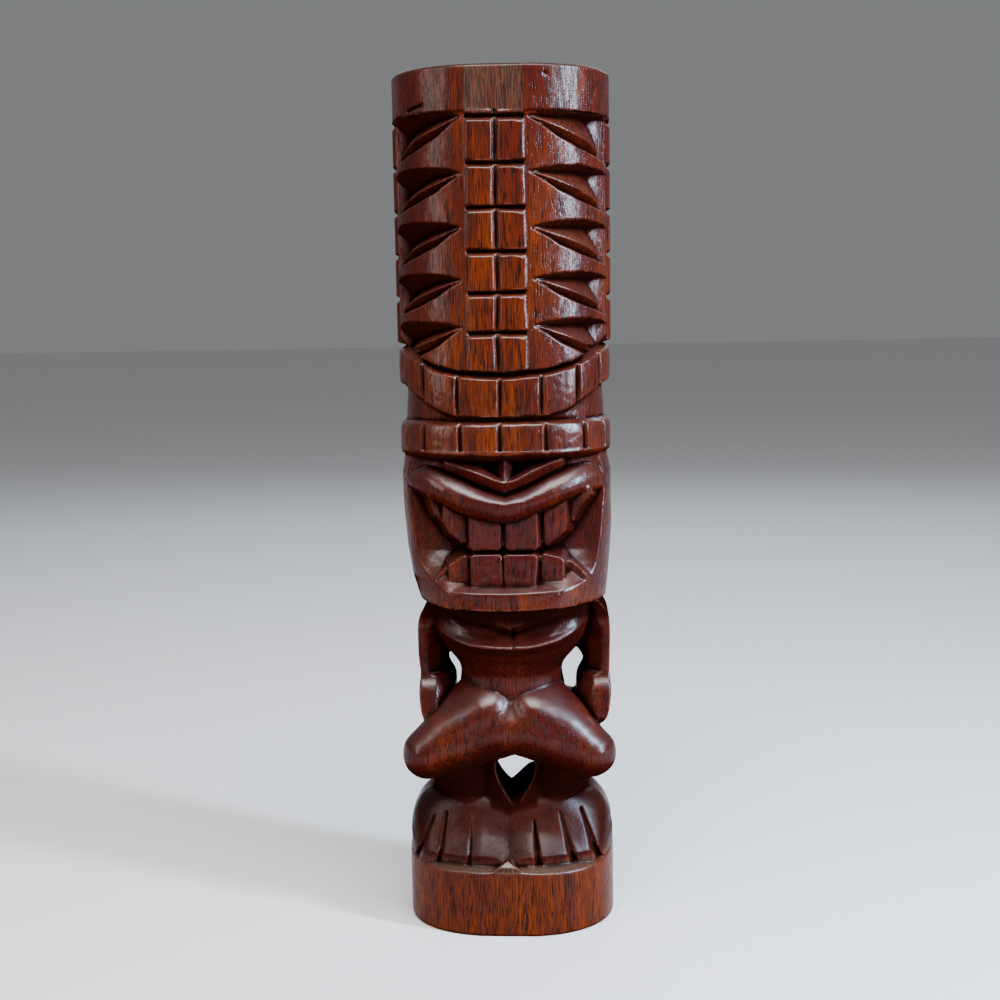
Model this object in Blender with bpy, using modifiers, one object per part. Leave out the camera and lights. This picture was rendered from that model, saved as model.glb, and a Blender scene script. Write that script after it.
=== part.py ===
"""Carved tiki figure, divided into the members of the carving. Metres, +Z up, front towards -Y."""

import math

import bmesh
import bpy

MM = 0.001

# Driving dimensions, in millimetres.
HEIGHT = 406.0
BASE_HALF = (50.4, 45.4)      # half width and half depth of the log at the plinth
TOP_HALF = (51.7, 46.5)       # the same at the crown
OVAL_POWER = 2.4              # squareness of the log's section
RING_POINTS = 40
GAP = 0.3                     # crease between neighbouring members

PLINTH_TOP = 36.0
ANKLE = 64.0
BELLY_TOP = 128.0
CHIN = 157.5
LOWER_BAND_FLOOR = 229.0
CROWN_FLOOR = 385.0
FACE_WALL = -22.0             # depth of the wall behind the lips and teeth
EYE_WALL = -36.0              # depth of the eye hollows
THROUGH = (-70.0, 70.0)       # an extrusion right through the log
FRONT = (-70.0, FACE_WALL)

STRIP_X = (-15.0, 11.5)       # the front strip of tiles
STRIP_HALF = 13.0             # half width of the side strips
STRIP_SEAT = 6.0              # how far a strip goes into the log
TILE_CREASES = (362.5, 342.5, 323.0, 304.5, 286.0)
WEDGE_TIPS = (382.0, 357.5, 333.5, 309.5, 288.5)
BAND_SPLITS = (-38.0, -20.0, -1.5, 19.0, 38.0)
BAND_SIDE_SPLITS = (-14.0, 14.0)
LEFT_TOES = (-40.0, -32.5, -19.0)
RIGHT_TOES = (12.5, 27.0, 37.5)

# Creases that two members share, as (x, z) from left to right across the front.
LIP_TOP_EDGE = [(-46, 221), (-38, 226), (-20, 220), (0, 211.5), (20, 220.5), (38, 226), (48.5, 219.5)]
LIP_LOW_EDGE = [(-46, 215), (-33, 209), (-15, 202), (0, 200), (20, 206), (38, 213), (48.5, 213)]
BAND_LOW_EDGE = [(-60, 263), (-49, 259), (-38, 253), (-22, 247), (22, 247), (38, 253), (49, 259), (60, 263)]
BAND_TOP_EDGE = [(-60, 276), (-47, 275), (-33, 271), (-16, 267), (16, 267), (33, 271), (47, 275), (60, 276)]

ALONG_X, ALONG_Y, ALONG_Z = (1, 0, 0), (0, 1, 0), (0, 0, 1)
FRONT_VIEW = (ALONG_X, ALONG_Z, ALONG_Y)
SIDE_VIEW = (ALONG_Y, ALONG_Z, ALONG_X)
PLAN_VIEW = (ALONG_X, ALONG_Y, ALONG_Z)


def collection(name):
    made = bpy.data.collections.new(name)
    bpy.context.scene.collection.children.link(made)
    return made


def wood(name, color, roughness):
    mat = bpy.data.materials.new(name)
    mat.use_nodes = True
    shader = mat.node_tree.nodes["Principled BSDF"]
    shader.inputs["Base Color"].default_value = (*color, 1.0)
    shader.inputs["Roughness"].default_value = roughness
    shader.inputs["Coat Weight"].default_value = 0.3
    return mat


def add_object(name, bm, material):
    """A new object in the figure's collection, or in the cutters' one when it has no material."""
    bmesh.ops.recalc_face_normals(bm, faces=bm.faces)
    mesh = bpy.data.meshes.new(name)
    bm.to_mesh(mesh)
    bm.free()
    obj = bpy.data.objects.new(name, mesh)
    if material:
        mesh.materials.append(material)
        FIGURE.objects.link(obj)
    else:
        CUTTERS.objects.link(obj)
        obj.display_type = "WIRE"
        obj.hide_render = True
    return obj


def log_half(z, inset=0.0):
    """Half width and half depth of the log at height z."""
    t = z / HEIGHT
    return tuple(low + (high - low) * t - inset for low, high in zip(BASE_HALF, TOP_HALF, strict=True))


def oval(angle, half):
    c, s = math.cos(angle), math.sin(angle)
    power = 2.0 / OVAL_POWER
    return math.copysign(abs(c) ** power, c) * half[0], math.copysign(abs(s) ** power, s) * half[1]


def column(name, levels):
    """An oval column through levels of (z, (half width, half depth))."""
    bm = bmesh.new()
    rings = []
    for z, half in levels:
        ring = bmesh.ops.create_circle(bm, segments=RING_POINTS, radius=1.0)["verts"]
        for vert in ring:
            x, y = oval(math.atan2(vert.co.y, vert.co.x), half)
            vert.co = (x * MM, y * MM, z * MM)
        rings.append(list({edge for vert in ring for edge in vert.link_edges}))
    for lower, upper in zip(rings, rings[1:], strict=False):
        bmesh.ops.bridge_loops(bm, edges=lower + upper)
    bmesh.ops.edgeloop_fill(bm, edges=rings[0])
    bmesh.ops.edgeloop_fill(bm, edges=rings[-1])
    return add_object(name, bm, STAINED)


def prisms(name, outlines, span, view=FRONT_VIEW, origin=(0.0, 0.0, 0.0)):
    """A cutter: outlines drawn in a view's two axes and extruded over span along its third."""
    bm = bmesh.new()
    u_axis, v_axis, w_axis = view

    def place(u, v, w):
        axes = zip(origin, u_axis, v_axis, w_axis, strict=True)
        return [(o + u * a + v * b + w * c) * MM for o, a, b, c in axes]

    for outline in outlines:
        verts = [bm.verts.new(place(u, v, span[0])) for u, v in outline]
        edges = [bm.edges.new(pair) for pair in zip(verts, verts[1:] + verts[:1], strict=True)]
        face = bmesh.ops.contextual_create(bm, geom=edges)["faces"][0]
        made = bmesh.ops.extrude_face_region(bm, geom=[face], use_keep_orig=True)["geom"]
        raised = [item for item in made if isinstance(item, bmesh.types.BMVert)]
        step = [(span[1] - span[0]) * c * MM for c in w_axis]
        bmesh.ops.translate(bm, verts=raised, vec=step)
    return add_object(name, bm, None)


def grow(outline, distance):
    """The outline with every side moved out by distance, or in when it is negative."""
    area = sum(a[0] * b[1] - b[0] * a[1] for a, b in zip(outline, outline[1:] + outline[:1], strict=True))
    distance = math.copysign(distance, distance * area)
    grown = []
    corners = zip(outline[-1:] + outline[:-1], outline, outline[1:] + outline[:1], strict=True)
    for before, here, after in corners:
        normals = []
        for a, b in ((before, here), (here, after)):
            length = math.hypot(b[0] - a[0], b[1] - a[1])
            normals.append(((b[1] - a[1]) / length, (a[0] - b[0]) / length))
        (ax, ay), (bx, by) = normals
        share = distance / (1.0 + ax * bx + ay * by)
        grown.append((here[0] + (ax + bx) * share, here[1] + (ay + by) * share))
    return grown


def boolean(obj, cutter, operation="DIFFERENCE"):
    cut = obj.modifiers.new(cutter.name, "BOOLEAN")
    cut.operation = operation
    cut.solver = "EXACT"
    cut.object = cutter


def member(name, outline, levels, span=THROUGH):
    """A length of the log trimmed to an outline in the front view, with half a crease off every side."""
    body = column(name, levels)
    trimmed = (span[0] + GAP / 2, span[1] - GAP / 2)
    boolean(body, prisms(f"{name}_outline", [grow(list(outline), -GAP / 2)], trimmed), "INTERSECT")
    return body


def surface(angle, z, inset=0.0):
    """Point on the log at an oval parameter and height, with the outward direction there."""
    half = log_half(z, inset)
    x, y = oval(angle, half)
    slope_x = math.copysign(abs(x / half[0]) ** (OVAL_POWER - 1) / half[0], x)
    slope_y = math.copysign(abs(y / half[1]) ** (OVAL_POWER - 1) / half[1], y)
    length = math.hypot(slope_x, slope_y)
    return (x, y), (slope_x / length, slope_y / length)


def angle_at(offset, half, across_x):
    """Oval parameter of the front point at width offset, or of the right-hand point at depth offset."""
    share = math.copysign(abs(offset / half) ** (OVAL_POWER / 2), offset)
    return -math.acos(share) if across_x else math.asin(share)


def splits(band, z_range, depth, width):
    """V cuts down a band: five at the front, five behind and two on each flank."""
    z = sum(z_range) / 2
    half = log_half(z)
    front = [angle_at(x, half[0], True) for x in BAND_SPLITS]
    side = [angle_at(y, half[1], False) for y in BAND_SIDE_SPLITS]
    angles = front + [-a for a in front] + side + [math.pi - a for a in side]
    outlines = []
    for angle in angles:
        (x, y), (nx, ny) = surface(angle, z)
        outlines.append([
            (x - nx * depth, y - ny * depth),
            (x + nx * 2 - ny * width, y + ny * 2 + nx * width),
            (x + nx * 2 + ny * width, y + ny * 2 - nx * width),
        ])
    cutter = prisms(f"{band.name}_splits", outlines, z_range, PLAN_VIEW)
    boolean(band, cutter)


def soften(obj, width):
    bevel = obj.modifiers.new("worn_edges", "BEVEL")
    bevel.width = width * MM
    bevel.segments = 1
    bevel.limit_method = "ANGLE"
    bevel.angle_limit = math.radians(40)


for old in list(bpy.data.objects):
    bpy.data.objects.remove(old, do_unlink=True)
FIGURE = collection("tiki_figure")
CUTTERS = collection("tiki_figure_cutters")
STAINED = wood("stained_wood", (0.17, 0.045, 0.02), 0.38)

# Plinth, with a rounded foot and a ledge around the feet.
column(
    "base_plinth",
    [
        (0.0, log_half(0, 1.0)),
        (1.2, log_half(1, 0.0)),
        (31.5, log_half(31, 0.0)),
        (33.0, log_half(33, 0.9)),
        (PLINTH_TOP - GAP / 2, log_half(36, 1.6)),
    ],
)

# Feet: domes with the toes cut in from the front.
FOOT_LEVELS = [
    (34.0, (48.5, 39.0)),
    (41.5, (49.6, 40.0)),
    (47.5, (49.0, 38.5)),
    (55.0, (44.5, 34.5)),
    (59.0, (39.5, 31.0)),
    (66.0, (31.0, 24.0)),
]
feet = {
    "left_foot": ([(-60, PLINTH_TOP), (-1, PLINTH_TOP), (-1, ANKLE), (-60, ANKLE)], LEFT_TOES),
    "right_foot": ([(-1, PLINTH_TOP), (60, PLINTH_TOP), (60, ANKLE), (-1, ANKLE)], RIGHT_TOES),
}
for foot_name, (outline, toes) in feet.items():
    foot = member(foot_name, outline, FOOT_LEVELS)
    cuts = []
    for x in toes:
        (px, py), (nx, ny) = surface(angle_at(x, 46.0, True), 44.0, 5.0)
        mouth_x, mouth_y = px + nx * 9, py + ny * 9
        cuts.append([(px - nx * 5, py - ny * 5), (mouth_x - 2.4, mouth_y), (mouth_x + 2.4, mouth_y)])
    boolean(foot, prisms(f"{foot_name}_toes", cuts, (30.0, 60.0), PLAN_VIEW))

# Legs in a squat: the knees reach out to the surface of the log, and daylight shows between the calves.
CALF_LEVELS = [(62.0, (46.0, 26.0)), (72.0, (48.0, 29.0)), (84.0, (50.0, 33.0))]
THIGH_LEVELS = [
    (72.0, (50.2, 33.0)),
    (80.0, (50.6, 39.0)),
    (90.0, (50.7, 43.0)),
    (106.0, (50.7, 38.0)),
    (124.0, (50.8, 29.0)),
]
LEFT_CALF = ((-31, ANKLE), (1.5, ANKLE), (-6.3, 79.5), (-24, 75.5), (-40, 74.5))
RIGHT_CALF = ((1.5, ANKLE), (31, ANKLE), (40, 73.5), (26, 75.5), (11.4, 79))
LEFT_THIGH = (
    (-6.3, 79.5), (1.5, 83), (1.5, 115), (-20, 120.5), (-25.5, 120.5),
    (-42, 101.5), (-48.5, 91), (-50.2, 85), (-44, 77.5), (-40, 74.5), (-24, 75.5),
)
RIGHT_THIGH = (
    (1.5, 83), (11.4, 79), (26, 75.5), (40, 73.5), (44.5, 78.5),
    (49.6, 84.5), (48, 92), (44.8, 98.4), (33, 118.9), (27, 121), (1.5, 115),
)
member("left_calf", LEFT_CALF, CALF_LEVELS)
member("right_calf", RIGHT_CALF, CALF_LEVELS)
soften(member("left_thigh", LEFT_THIGH, THIGH_LEVELS), 1.2)
soften(member("right_thigh", RIGHT_THIGH, THIGH_LEVELS), 1.2)

# Trunk: a narrow belly, and a chest with a sharp ridge across it.
ABDOMEN = (
    (1.5, 115), (27, 121), (26.4, 125.7), (28.5, BELLY_TOP),
    (-26.2, BELLY_TOP), (-24.4, 125), (-24.3, 120.5), (-20, 120.5),
)
CHEST = (
    (-26.2, BELLY_TOP), (28.5, BELLY_TOP), (34.4, 132), (38, 141), (40, 150), (40, CHIN),
    (-37, CHIN), (-34, 147), (-32, 139), (-30.6, 129.6),
)
CHEST_LEVELS = [
    (126.0, (50.0, 32.0)),
    (134.0, (50.0, 35.5)),
    (138.5, (50.0, 39.5)),
    (142.0, (50.0, 36.0)),
    (160.0, (50.0, 35.0)),
]
member("abdomen", ABDOMEN, [(113.0, (50.0, 29.5)), (121.0, (50.0, 30.5)), (130.0, (50.0, 33.0))])
member("chest", CHEST, CHEST_LEVELS)

# Arms, clear of the waist.
ARM_LEVELS = [(96.0, (50.5, 22.0)), (122.0, (50.5, 24.0)), (160.0, (50.5, 30.0))]
arms = {
    "left_upper_arm": (
        (-30.6, 129.6), (-32, 139), (-34, 147), (-37, CHIN),
        (-44.5, CHIN), (-43.4, 149), (-43, 121.6), (-31.2, 122.6),
    ),
    "left_forearm": ((-31.2, 122.6), (-43, 121.6), (-42.7, 108), (-42, 101.5), (-28, 117.62)),
    "right_upper_arm": (
        (34.4, 132), (38, 141), (40, 150), (40, CHIN),
        (48.5, CHIN), (48.9, 147), (48.8, 121.6), (37.7, 122.5), (37.4, 127),
    ),
    "right_forearm": ((37.7, 122.5), (48.8, 121.6), (48.2, 107), (44.8, 98.4), (34, 117.16)),
}
for arm_name, outline in arms.items():
    soften(member(arm_name, outline, ARM_LEVELS), 1.0)

# Head: a block behind the face, with a cheek on either side of the mouth.
HEAD_LEVELS = [(CHIN - 2, log_half(157, 1.5)), (166.0, log_half(166, 0.4)), (232.0, log_half(232, 1.2))]
BLOCK = ((-60, CHIN), (60, CHIN), (60, LOWER_BAND_FLOOR), (-60, LOWER_BAND_FLOOR))
LEFT_MOUTH = (
    (-36, CHIN), (-38, 162.5), (-43, 172), (-42.5, 178), (-44.5, 195), (-46, 215),
    (-46, LOWER_BAND_FLOOR),
)
RIGHT_MOUTH = (
    (37, CHIN), (41, 163), (44.5, 171), (45, 178), (48, 190), (48.5, 213),
    (48.5, LOWER_BAND_FLOOR),
)
left_cheek = [*LEFT_MOUTH, (-60, LOWER_BAND_FLOOR), (-60, CHIN)]
right_cheek = [*RIGHT_MOUTH, (60, LOWER_BAND_FLOOR), (60, CHIN)]
head = member("head", BLOCK, HEAD_LEVELS, (FACE_WALL, 70.0))
cheek_room = [grow(left_cheek, GAP / 2), grow(right_cheek, GAP / 2)]
boolean(head, prisms("head_cheek_seats", cheek_room, (-70.0, GAP / 2)))
member("left_cheek", left_cheek, HEAD_LEVELS, (-70.0, 0.0))
member("right_cheek", right_cheek, HEAD_LEVELS, (-70.0, 0.0))


LOWER_LIP = (
    (-38, 162.5), (-20, 158.5), (0, CHIN), (25, 158.5), (41, 163),
    (44.5, 171), (30, 170), (-28, 170), (-43, 172),
)
LOWER_TEETH = (
    (-28, 170), (30, 170), (38, 170.6), (35, 175.5), (27, 181),
    (15, 183), (-19, 183), (-32, 174.5), (-32, 170.6),
)
UPPER_TEETH = (
    (-33, 209), (-33, 203), (-29, 196), (-27, 188), (-16, 186), (15, 186),
    (28, 188), (31, 197), (38, 207), (38, 213), (20, 206), (0, 200), (-15, 202),
)
TOOTH_SPLITS = (-28.5, -17.2, -1.0, 16.2, 29.0)
LIP_LEVELS = [(CHIN - 2, log_half(157, 2.5)), (163.0, log_half(163, 0.3)), (174.0, log_half(174, 1.5))]
TEETH_LEVELS = [(165.0, log_half(165, 7.0)), (215.0, log_half(215, 7.0))]
UPPER_LIP_LEVELS = [(198.0, log_half(198, 4.0)), (208.0, log_half(208, 0.3)), (228.0, log_half(228, 3.5))]
member("lower_lip", LOWER_LIP, LIP_LEVELS, FRONT)
soften(member("upper_lip", LIP_LOW_EDGE + LIP_TOP_EDGE[::-1], UPPER_LIP_LEVELS, FRONT), 1.0)
for row_name, outline in (("lower_teeth", LOWER_TEETH), ("upper_teeth", UPPER_TEETH)):
    row = member(row_name, outline, TEETH_LEVELS, FRONT)
    depth_of_teeth = log_half(190, 7.0)
    cuts = []
    for x in TOOTH_SPLITS:
        y = oval(angle_at(x, depth_of_teeth[0], True), depth_of_teeth)[1]
        cuts.append([(x, y + 1.8), (x - 0.9, y - 2), (x + 0.9, y - 2)])
    boolean(row, prisms(f"{row_name}_splits", cuts, (160.0, 220.0), PLAN_VIEW))

# Brow wall of the eye hollows, with the nose standing in front of it.
BROW = [*LIP_TOP_EDGE, (48.5, LOWER_BAND_FLOOR), (-46, LOWER_BAND_FLOOR)]
NOSE = (
    (-27, LOWER_BAND_FLOOR), (-25, 226.5), (-3, 217), (0, 212.3), (3, 217), (22, 226.5),
    (24, LOWER_BAND_FLOOR),
)
NOSE_LEVELS = [(210.0, log_half(210, 0.4)), (232.0, log_half(232, 2.5))]
member("brow", BROW, HEAD_LEVELS, (EYE_WALL, FACE_WALL))
member("nose", NOSE, NOSE_LEVELS, (-70.0, EYE_WALL))

# Headbands. The upper one curves up at the flanks over a recessed part of the lower one.
lower_band = member(
    "lower_headband",
    [(-60, LOWER_BAND_FLOOR), (60, LOWER_BAND_FLOOR), *BAND_LOW_EDGE[::-1]],
    [
        (LOWER_BAND_FLOOR - 1, log_half(229, 2.5)),
        (232.0, log_half(232, 0.0)),
        (242.5, log_half(243, 0.0)),
        (246.8, log_half(247, 3.5)),
        (266.0, log_half(266, 5.0)),
    ],
)
splits(lower_band, (225.0, 247.0), 1.8, 2.0)
upper_band = member(
    "upper_headband",
    [*BAND_LOW_EDGE, *BAND_TOP_EDGE[::-1]],
    [(244.0, log_half(244, 0.0)), (265.0, log_half(265, 0.0)), (279.0, log_half(279, 0.6))],
)
splits(upper_band, (240.0, 285.0), 1.8, 2.0)

# Headdress: seats for four strips of tiles, and wedge cuts between them that open towards the flanks.
OUTLINE = [*BAND_TOP_EDGE, (60, CROWN_FLOOR), (-60, CROWN_FLOOR)]
headdress = member("headdress", OUTLINE, [(264.0, log_half(264, 0.8)), (388.0, log_half(388, 0.8))])
half_top = log_half(300)
seat_x = half_top[0] - STRIP_SEAT
seat_y = half_top[1] - STRIP_SEAT
rise = (255.0, 400.0)
strip_plans = {
    "front_tiles": [(STRIP_X[0], -70), (STRIP_X[1], -70), (STRIP_X[1], -seat_y), (STRIP_X[0], -seat_y)],
    "back_tiles": [(STRIP_X[0], seat_y), (STRIP_X[1], seat_y), (STRIP_X[1], 70), (STRIP_X[0], 70)],
    "left_tiles": [(-70, -STRIP_HALF), (-seat_x, -STRIP_HALF), (-seat_x, STRIP_HALF), (-70, STRIP_HALF)],
    "right_tiles": [(seat_x, -STRIP_HALF), (70, -STRIP_HALF), (70, STRIP_HALF), (seat_x, STRIP_HALF)],
}
seats = [grow(plan, GAP / 2) for plan in strip_plans.values()]
boolean(headdress, prisms("headdress_strip_seats", seats, rise, PLAN_VIEW))
for side_x in (-1, 1):
    tip_x = STRIP_X[0] - 2.0 if side_x < 0 else STRIP_X[1] + 2.0
    for side_y in (-1, 1):
        start = (tip_x, side_y * (half_top[1] - 0.6))
        end = (side_x * (half_top[0] - 4.0), side_y * (STRIP_HALF + 0.5))
        run = math.hypot(end[0] - start[0], end[1] - start[1])
        along = ((end[0] - start[0]) / run, (end[1] - start[1]) / run, 0)
        outward = (-along[1] * side_x * side_y, along[0] * side_x * side_y, 0)
        wedges = [[(0, z), (run * 0.6, z + 1.5), (run, z - 2.5), (run, z - 17)] for z in WEDGE_TIPS]
        cutter_name = f"wedges_{'left' if side_x < 0 else 'right'}_{'front' if side_y < 0 else 'back'}"
        cutter = prisms(cutter_name, wedges, (0.0, 25.0), (along, ALONG_Z, outward), (*start, 0.0))
        boolean(headdress, cutter)

for strip_name, plan in strip_plans.items():
    strip = member(strip_name, OUTLINE, [(264.0, log_half(264, 0.0)), (388.0, log_half(388, 0.0))])
    boolean(strip, prisms(f"{strip_name}_plan", [grow(plan, -GAP / 2)], rise, PLAN_VIEW), "INTERSECT")
    on_side = strip_name in ("left_tiles", "right_tiles")
    middle = 0.0 if on_side else sum(STRIP_X) / 2
    sign = 1 if strip_name in ("back_tiles", "right_tiles") else -1
    half_at = log_half(325)[0 if on_side else 1]
    deep, shallow = sign * (half_at - 2.2), sign * (half_at + 3)
    creases = [[(deep, z), (shallow, z + 3.4), (shallow, z - 3.4)] for z in TILE_CREASES]
    view = FRONT_VIEW if on_side else SIDE_VIEW
    boolean(strip, prisms(f"{strip_name}_creases", creases, (-30.0, 30.0), view))
    crease = [(middle, deep), (middle - 1.8, shallow), (middle + 1.8, shallow)]
    if on_side:
        crease = [(v, u) for u, v in crease]
    boolean(strip, prisms(f"{strip_name}_middle", [crease], rise, PLAN_VIEW))

column(
    "crown_rim",
    [
        (CROWN_FLOOR + GAP / 2, log_half(385, 2.2)),
        (388.0, log_half(388, 0.0)),
        (HEIGHT - 1.0, log_half(405, 0.0)),
        (HEIGHT, log_half(406, 0.9)),
    ],
)
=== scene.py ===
import bpy
import numpy as np
from mathutils import Matrix, Vector


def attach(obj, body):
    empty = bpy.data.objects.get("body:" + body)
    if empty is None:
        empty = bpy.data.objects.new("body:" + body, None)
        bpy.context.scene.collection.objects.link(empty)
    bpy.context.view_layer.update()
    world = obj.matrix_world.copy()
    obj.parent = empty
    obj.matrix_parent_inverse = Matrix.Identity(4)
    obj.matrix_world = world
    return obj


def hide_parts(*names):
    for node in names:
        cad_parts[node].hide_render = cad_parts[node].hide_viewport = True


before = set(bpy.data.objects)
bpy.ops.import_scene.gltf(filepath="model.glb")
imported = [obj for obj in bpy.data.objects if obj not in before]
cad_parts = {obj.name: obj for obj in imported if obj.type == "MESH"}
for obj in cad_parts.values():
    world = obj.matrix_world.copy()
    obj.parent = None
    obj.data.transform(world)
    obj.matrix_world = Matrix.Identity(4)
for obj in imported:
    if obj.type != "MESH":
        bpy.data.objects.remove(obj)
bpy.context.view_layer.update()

# All sculpting below is in millimetres: X to the viewer's right, front towards -Y, Z up.
MM = 0.001
STEP = 0.55
HEIGHT = 406.0
HALF = (51.0, 46.0)           # the log's half width and half depth, before its taper
POWER = 2.4                   # squareness of its section
LEDGE = 32.0                  # top of the plinth
STRIP = (-15.0, 11.5)         # the front strip of tiles
SIDE_HALF = 14.0              # half width of the side strips
ELBOW = 121.6
CHIN = 157.5                  # underside of the head
BAND_BASE = 229.4             # underside of the lower headband
RIM_BASE = 385.3              # underside of the plain rim
PROUD = 7.0                   # how far the knees may stand out past the log
DEPTH_LIMIT = 46.3            # how far the carving reaches from its axis, to the front or the back
FAR = 9.0                     # distance given to empty space

GRID = [
    np.arange(low, high, STEP, dtype=np.float32)
    for low, high in ((-54.0, 54.6), (-49.0, 49.6), (-2.2, 409.0))
]
GX, GY, GZ = GRID


# ---------------------------------------------------------------- small tools for fields

def curve(v, *points):
    """Straight runs through (v, value) points."""
    at, value = zip(*points, strict=True)
    return np.interp(v, at, value).astype(np.float32)


def fade(v, low, high):
    """0 below low, 1 above high, smooth between."""
    t = np.clip((v - low) / (high - low), 0.0, 1.0)
    return t * t * (3.0 - 2.0 * t)


def soft_min(a, b, k):
    h = np.clip(0.5 + 0.5 * (b - a) / k, 0.0, 1.0)
    return b + (a - b) * h - k * h * (1.0 - h)


def soft_max(a, b, k):
    return -soft_min(-a, -b, k)


def lattice(u, v, size, seed):
    """Smooth random values between -1 and 1 over a plane, one lattice cell every size."""
    table = np.random.default_rng(seed).uniform(-1, 1, (64, 64)).astype(np.float32)
    u, v = u / size + 1000.0, v / size + 1000.0
    iu, iv = np.floor(u).astype(int), np.floor(v).astype(int)
    fu, fv = fade(u - iu, 0, 1), fade(v - iv, 0, 1)
    iu, iv, ju, jv = iu % 64, iv % 64, (iu + 1) % 64, (iv + 1) % 64
    low = table[iu, iv] * (1 - fu) + table[ju, iv] * fu
    high = table[iu, jv] * (1 - fu) + table[ju, jv] * fu
    return low * (1 - fv) + high * fv


def outline_distance(u, v, points):
    """Signed distance to a closed outline, negative inside."""
    best = np.full(np.broadcast(u, v).shape, 1e9, np.float32)
    inside = np.zeros(best.shape, bool)
    for (au, av), (bu, bv) in zip(points, points[1:] + points[:1], strict=True):
        du, dv = bu - au, bv - av
        t = np.clip(((u - au) * du + (v - av) * dv) / (du * du + dv * dv), 0.0, 1.0)
        best = np.minimum(best, (u - au - t * du) ** 2 + (v - av - t * dv) ** 2)
        if dv:
            crosses = (av > v) != (bv > v)
            inside ^= crosses & (u < du * (v - av) / dv + au)
    best = np.sqrt(best)
    return np.where(inside, -best, best)


def round_cone(x, y, z, a, b, ra, rb):
    """A tapering limb from a to b."""
    axis = np.array(b, np.float32) - np.array(a, np.float32)
    length2 = float(axis @ axis)
    px, py, pz = x - a[0], y - a[1], z - a[2]
    t = np.clip((px * axis[0] + py * axis[1] + pz * axis[2]) / length2, 0.0, 1.0)
    far = np.sqrt((px - t * axis[0]) ** 2 + (py - t * axis[1]) ** 2 + (pz - t * axis[2]) ** 2)
    return far - (ra + (rb - ra) * t)


def ellipsoid(x, y, z, centre, radii):
    near = np.sqrt(((x - centre[0]) / radii[0]) ** 2 + ((y - centre[1]) / radii[1]) ** 2
                   + ((z - centre[2]) / radii[2]) ** 2)
    return (near - 1.0) * min(radii)


def facet(x, y, z, normal, point):
    """Distance outside a flat cut."""
    n = np.array(normal, float)
    n /= np.linalg.norm(n)
    return (x - point[0]) * n[0] + (y - point[1]) * n[1] + (z - point[2]) * n[2]


# ---------------------------------------------------------------- the log

def flat_front(x):
    """The front of the log is dressed flat, a little askew."""
    return -(HALF[1] - 0.75) - 0.012 * (x + 2.0)


def log_section():
    """Plan distance to the log, arc length round it at the nearest point, and the whole way round."""
    t = np.linspace(0, 2 * np.pi, 721)[:-1] - np.pi / 2
    c, s = np.cos(t), np.sin(t)
    px = np.sign(c) * np.abs(c) ** (2 / POWER) * HALF[0]
    py = np.sign(s) * np.abs(s) ** (2 / POWER) * HALF[1]
    py = np.maximum(py, flat_front(px))
    step = np.hypot(np.diff(px, append=px[0]), np.diff(py, append=py[0]))
    arc = np.concatenate([[0.0], np.cumsum(step)[:-1]])
    total = float(step.sum())
    x, y = GX[:, None], GY[None, :]
    best = np.full((len(GX), len(GY)), 1e9, np.float32)
    where = np.zeros(best.shape, np.float32)
    for i in range(len(px)):
        j = (i + 1) % len(px)
        dx, dy = px[j] - px[i], py[j] - py[i]
        share = np.clip(((x - px[i]) * dx + (y - py[i]) * dy) / (dx * dx + dy * dy), 0.0, 1.0)
        far = (x - px[i] - share * dx) ** 2 + (y - py[i] - share * dy) ** 2
        near = far < best
        best = np.where(near, far, best)
        where = np.where(near, arc[i] + share * step[i], where)
    inside = (np.abs(x / HALF[0]) ** POWER + np.abs(y / HALF[1]) ** POWER) < 1.0
    inside &= y > flat_front(x)
    best = np.sqrt(best)
    return np.where(inside, -best, best), where, total


PLAN, ARC, ROUND = log_section()
ARC = np.where(ARC > ROUND / 2, ARC - ROUND, ARC)
QUARTER = ROUND / 4


def front_depth(x):
    """How far the log's front stands forward of its axis at width x."""
    return HALF[1] * np.clip(1 - np.abs(x / (HALF[0] + 0.3)) ** POWER, 0.0, 1.0) ** (1 / POWER)


def taper(z):
    return curve(z, (0, -0.6), (HEIGHT, 0.7))


# ---------------------------------------------------------------- relief round the log: bands, headdress, rim

ARC_STEP = 0.4
ARCS = np.arange(-ROUND / 2 - 1, ROUND / 2 + 1, ARC_STEP, dtype=np.float32)
TILE_CUTS = (383.2, 362.6, 342.6, 323.0, 304.6, 286.2)
WEDGE_TIPS = (383.0, 358.2, 333.8, 310.3, 289.3)
WEDGE_FALLS = (1.05, 0.94, 0.9, 0.88, 0.95)


def notch(z, z_at, above, below, depth):
    """A V cut along z_at: steep over it and longer under it."""
    rise = np.where(z > z_at, (z - z_at) / above, (z_at - z) / below)
    return depth * np.clip(1.0 - rise, 0.0, 1.0)


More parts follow.
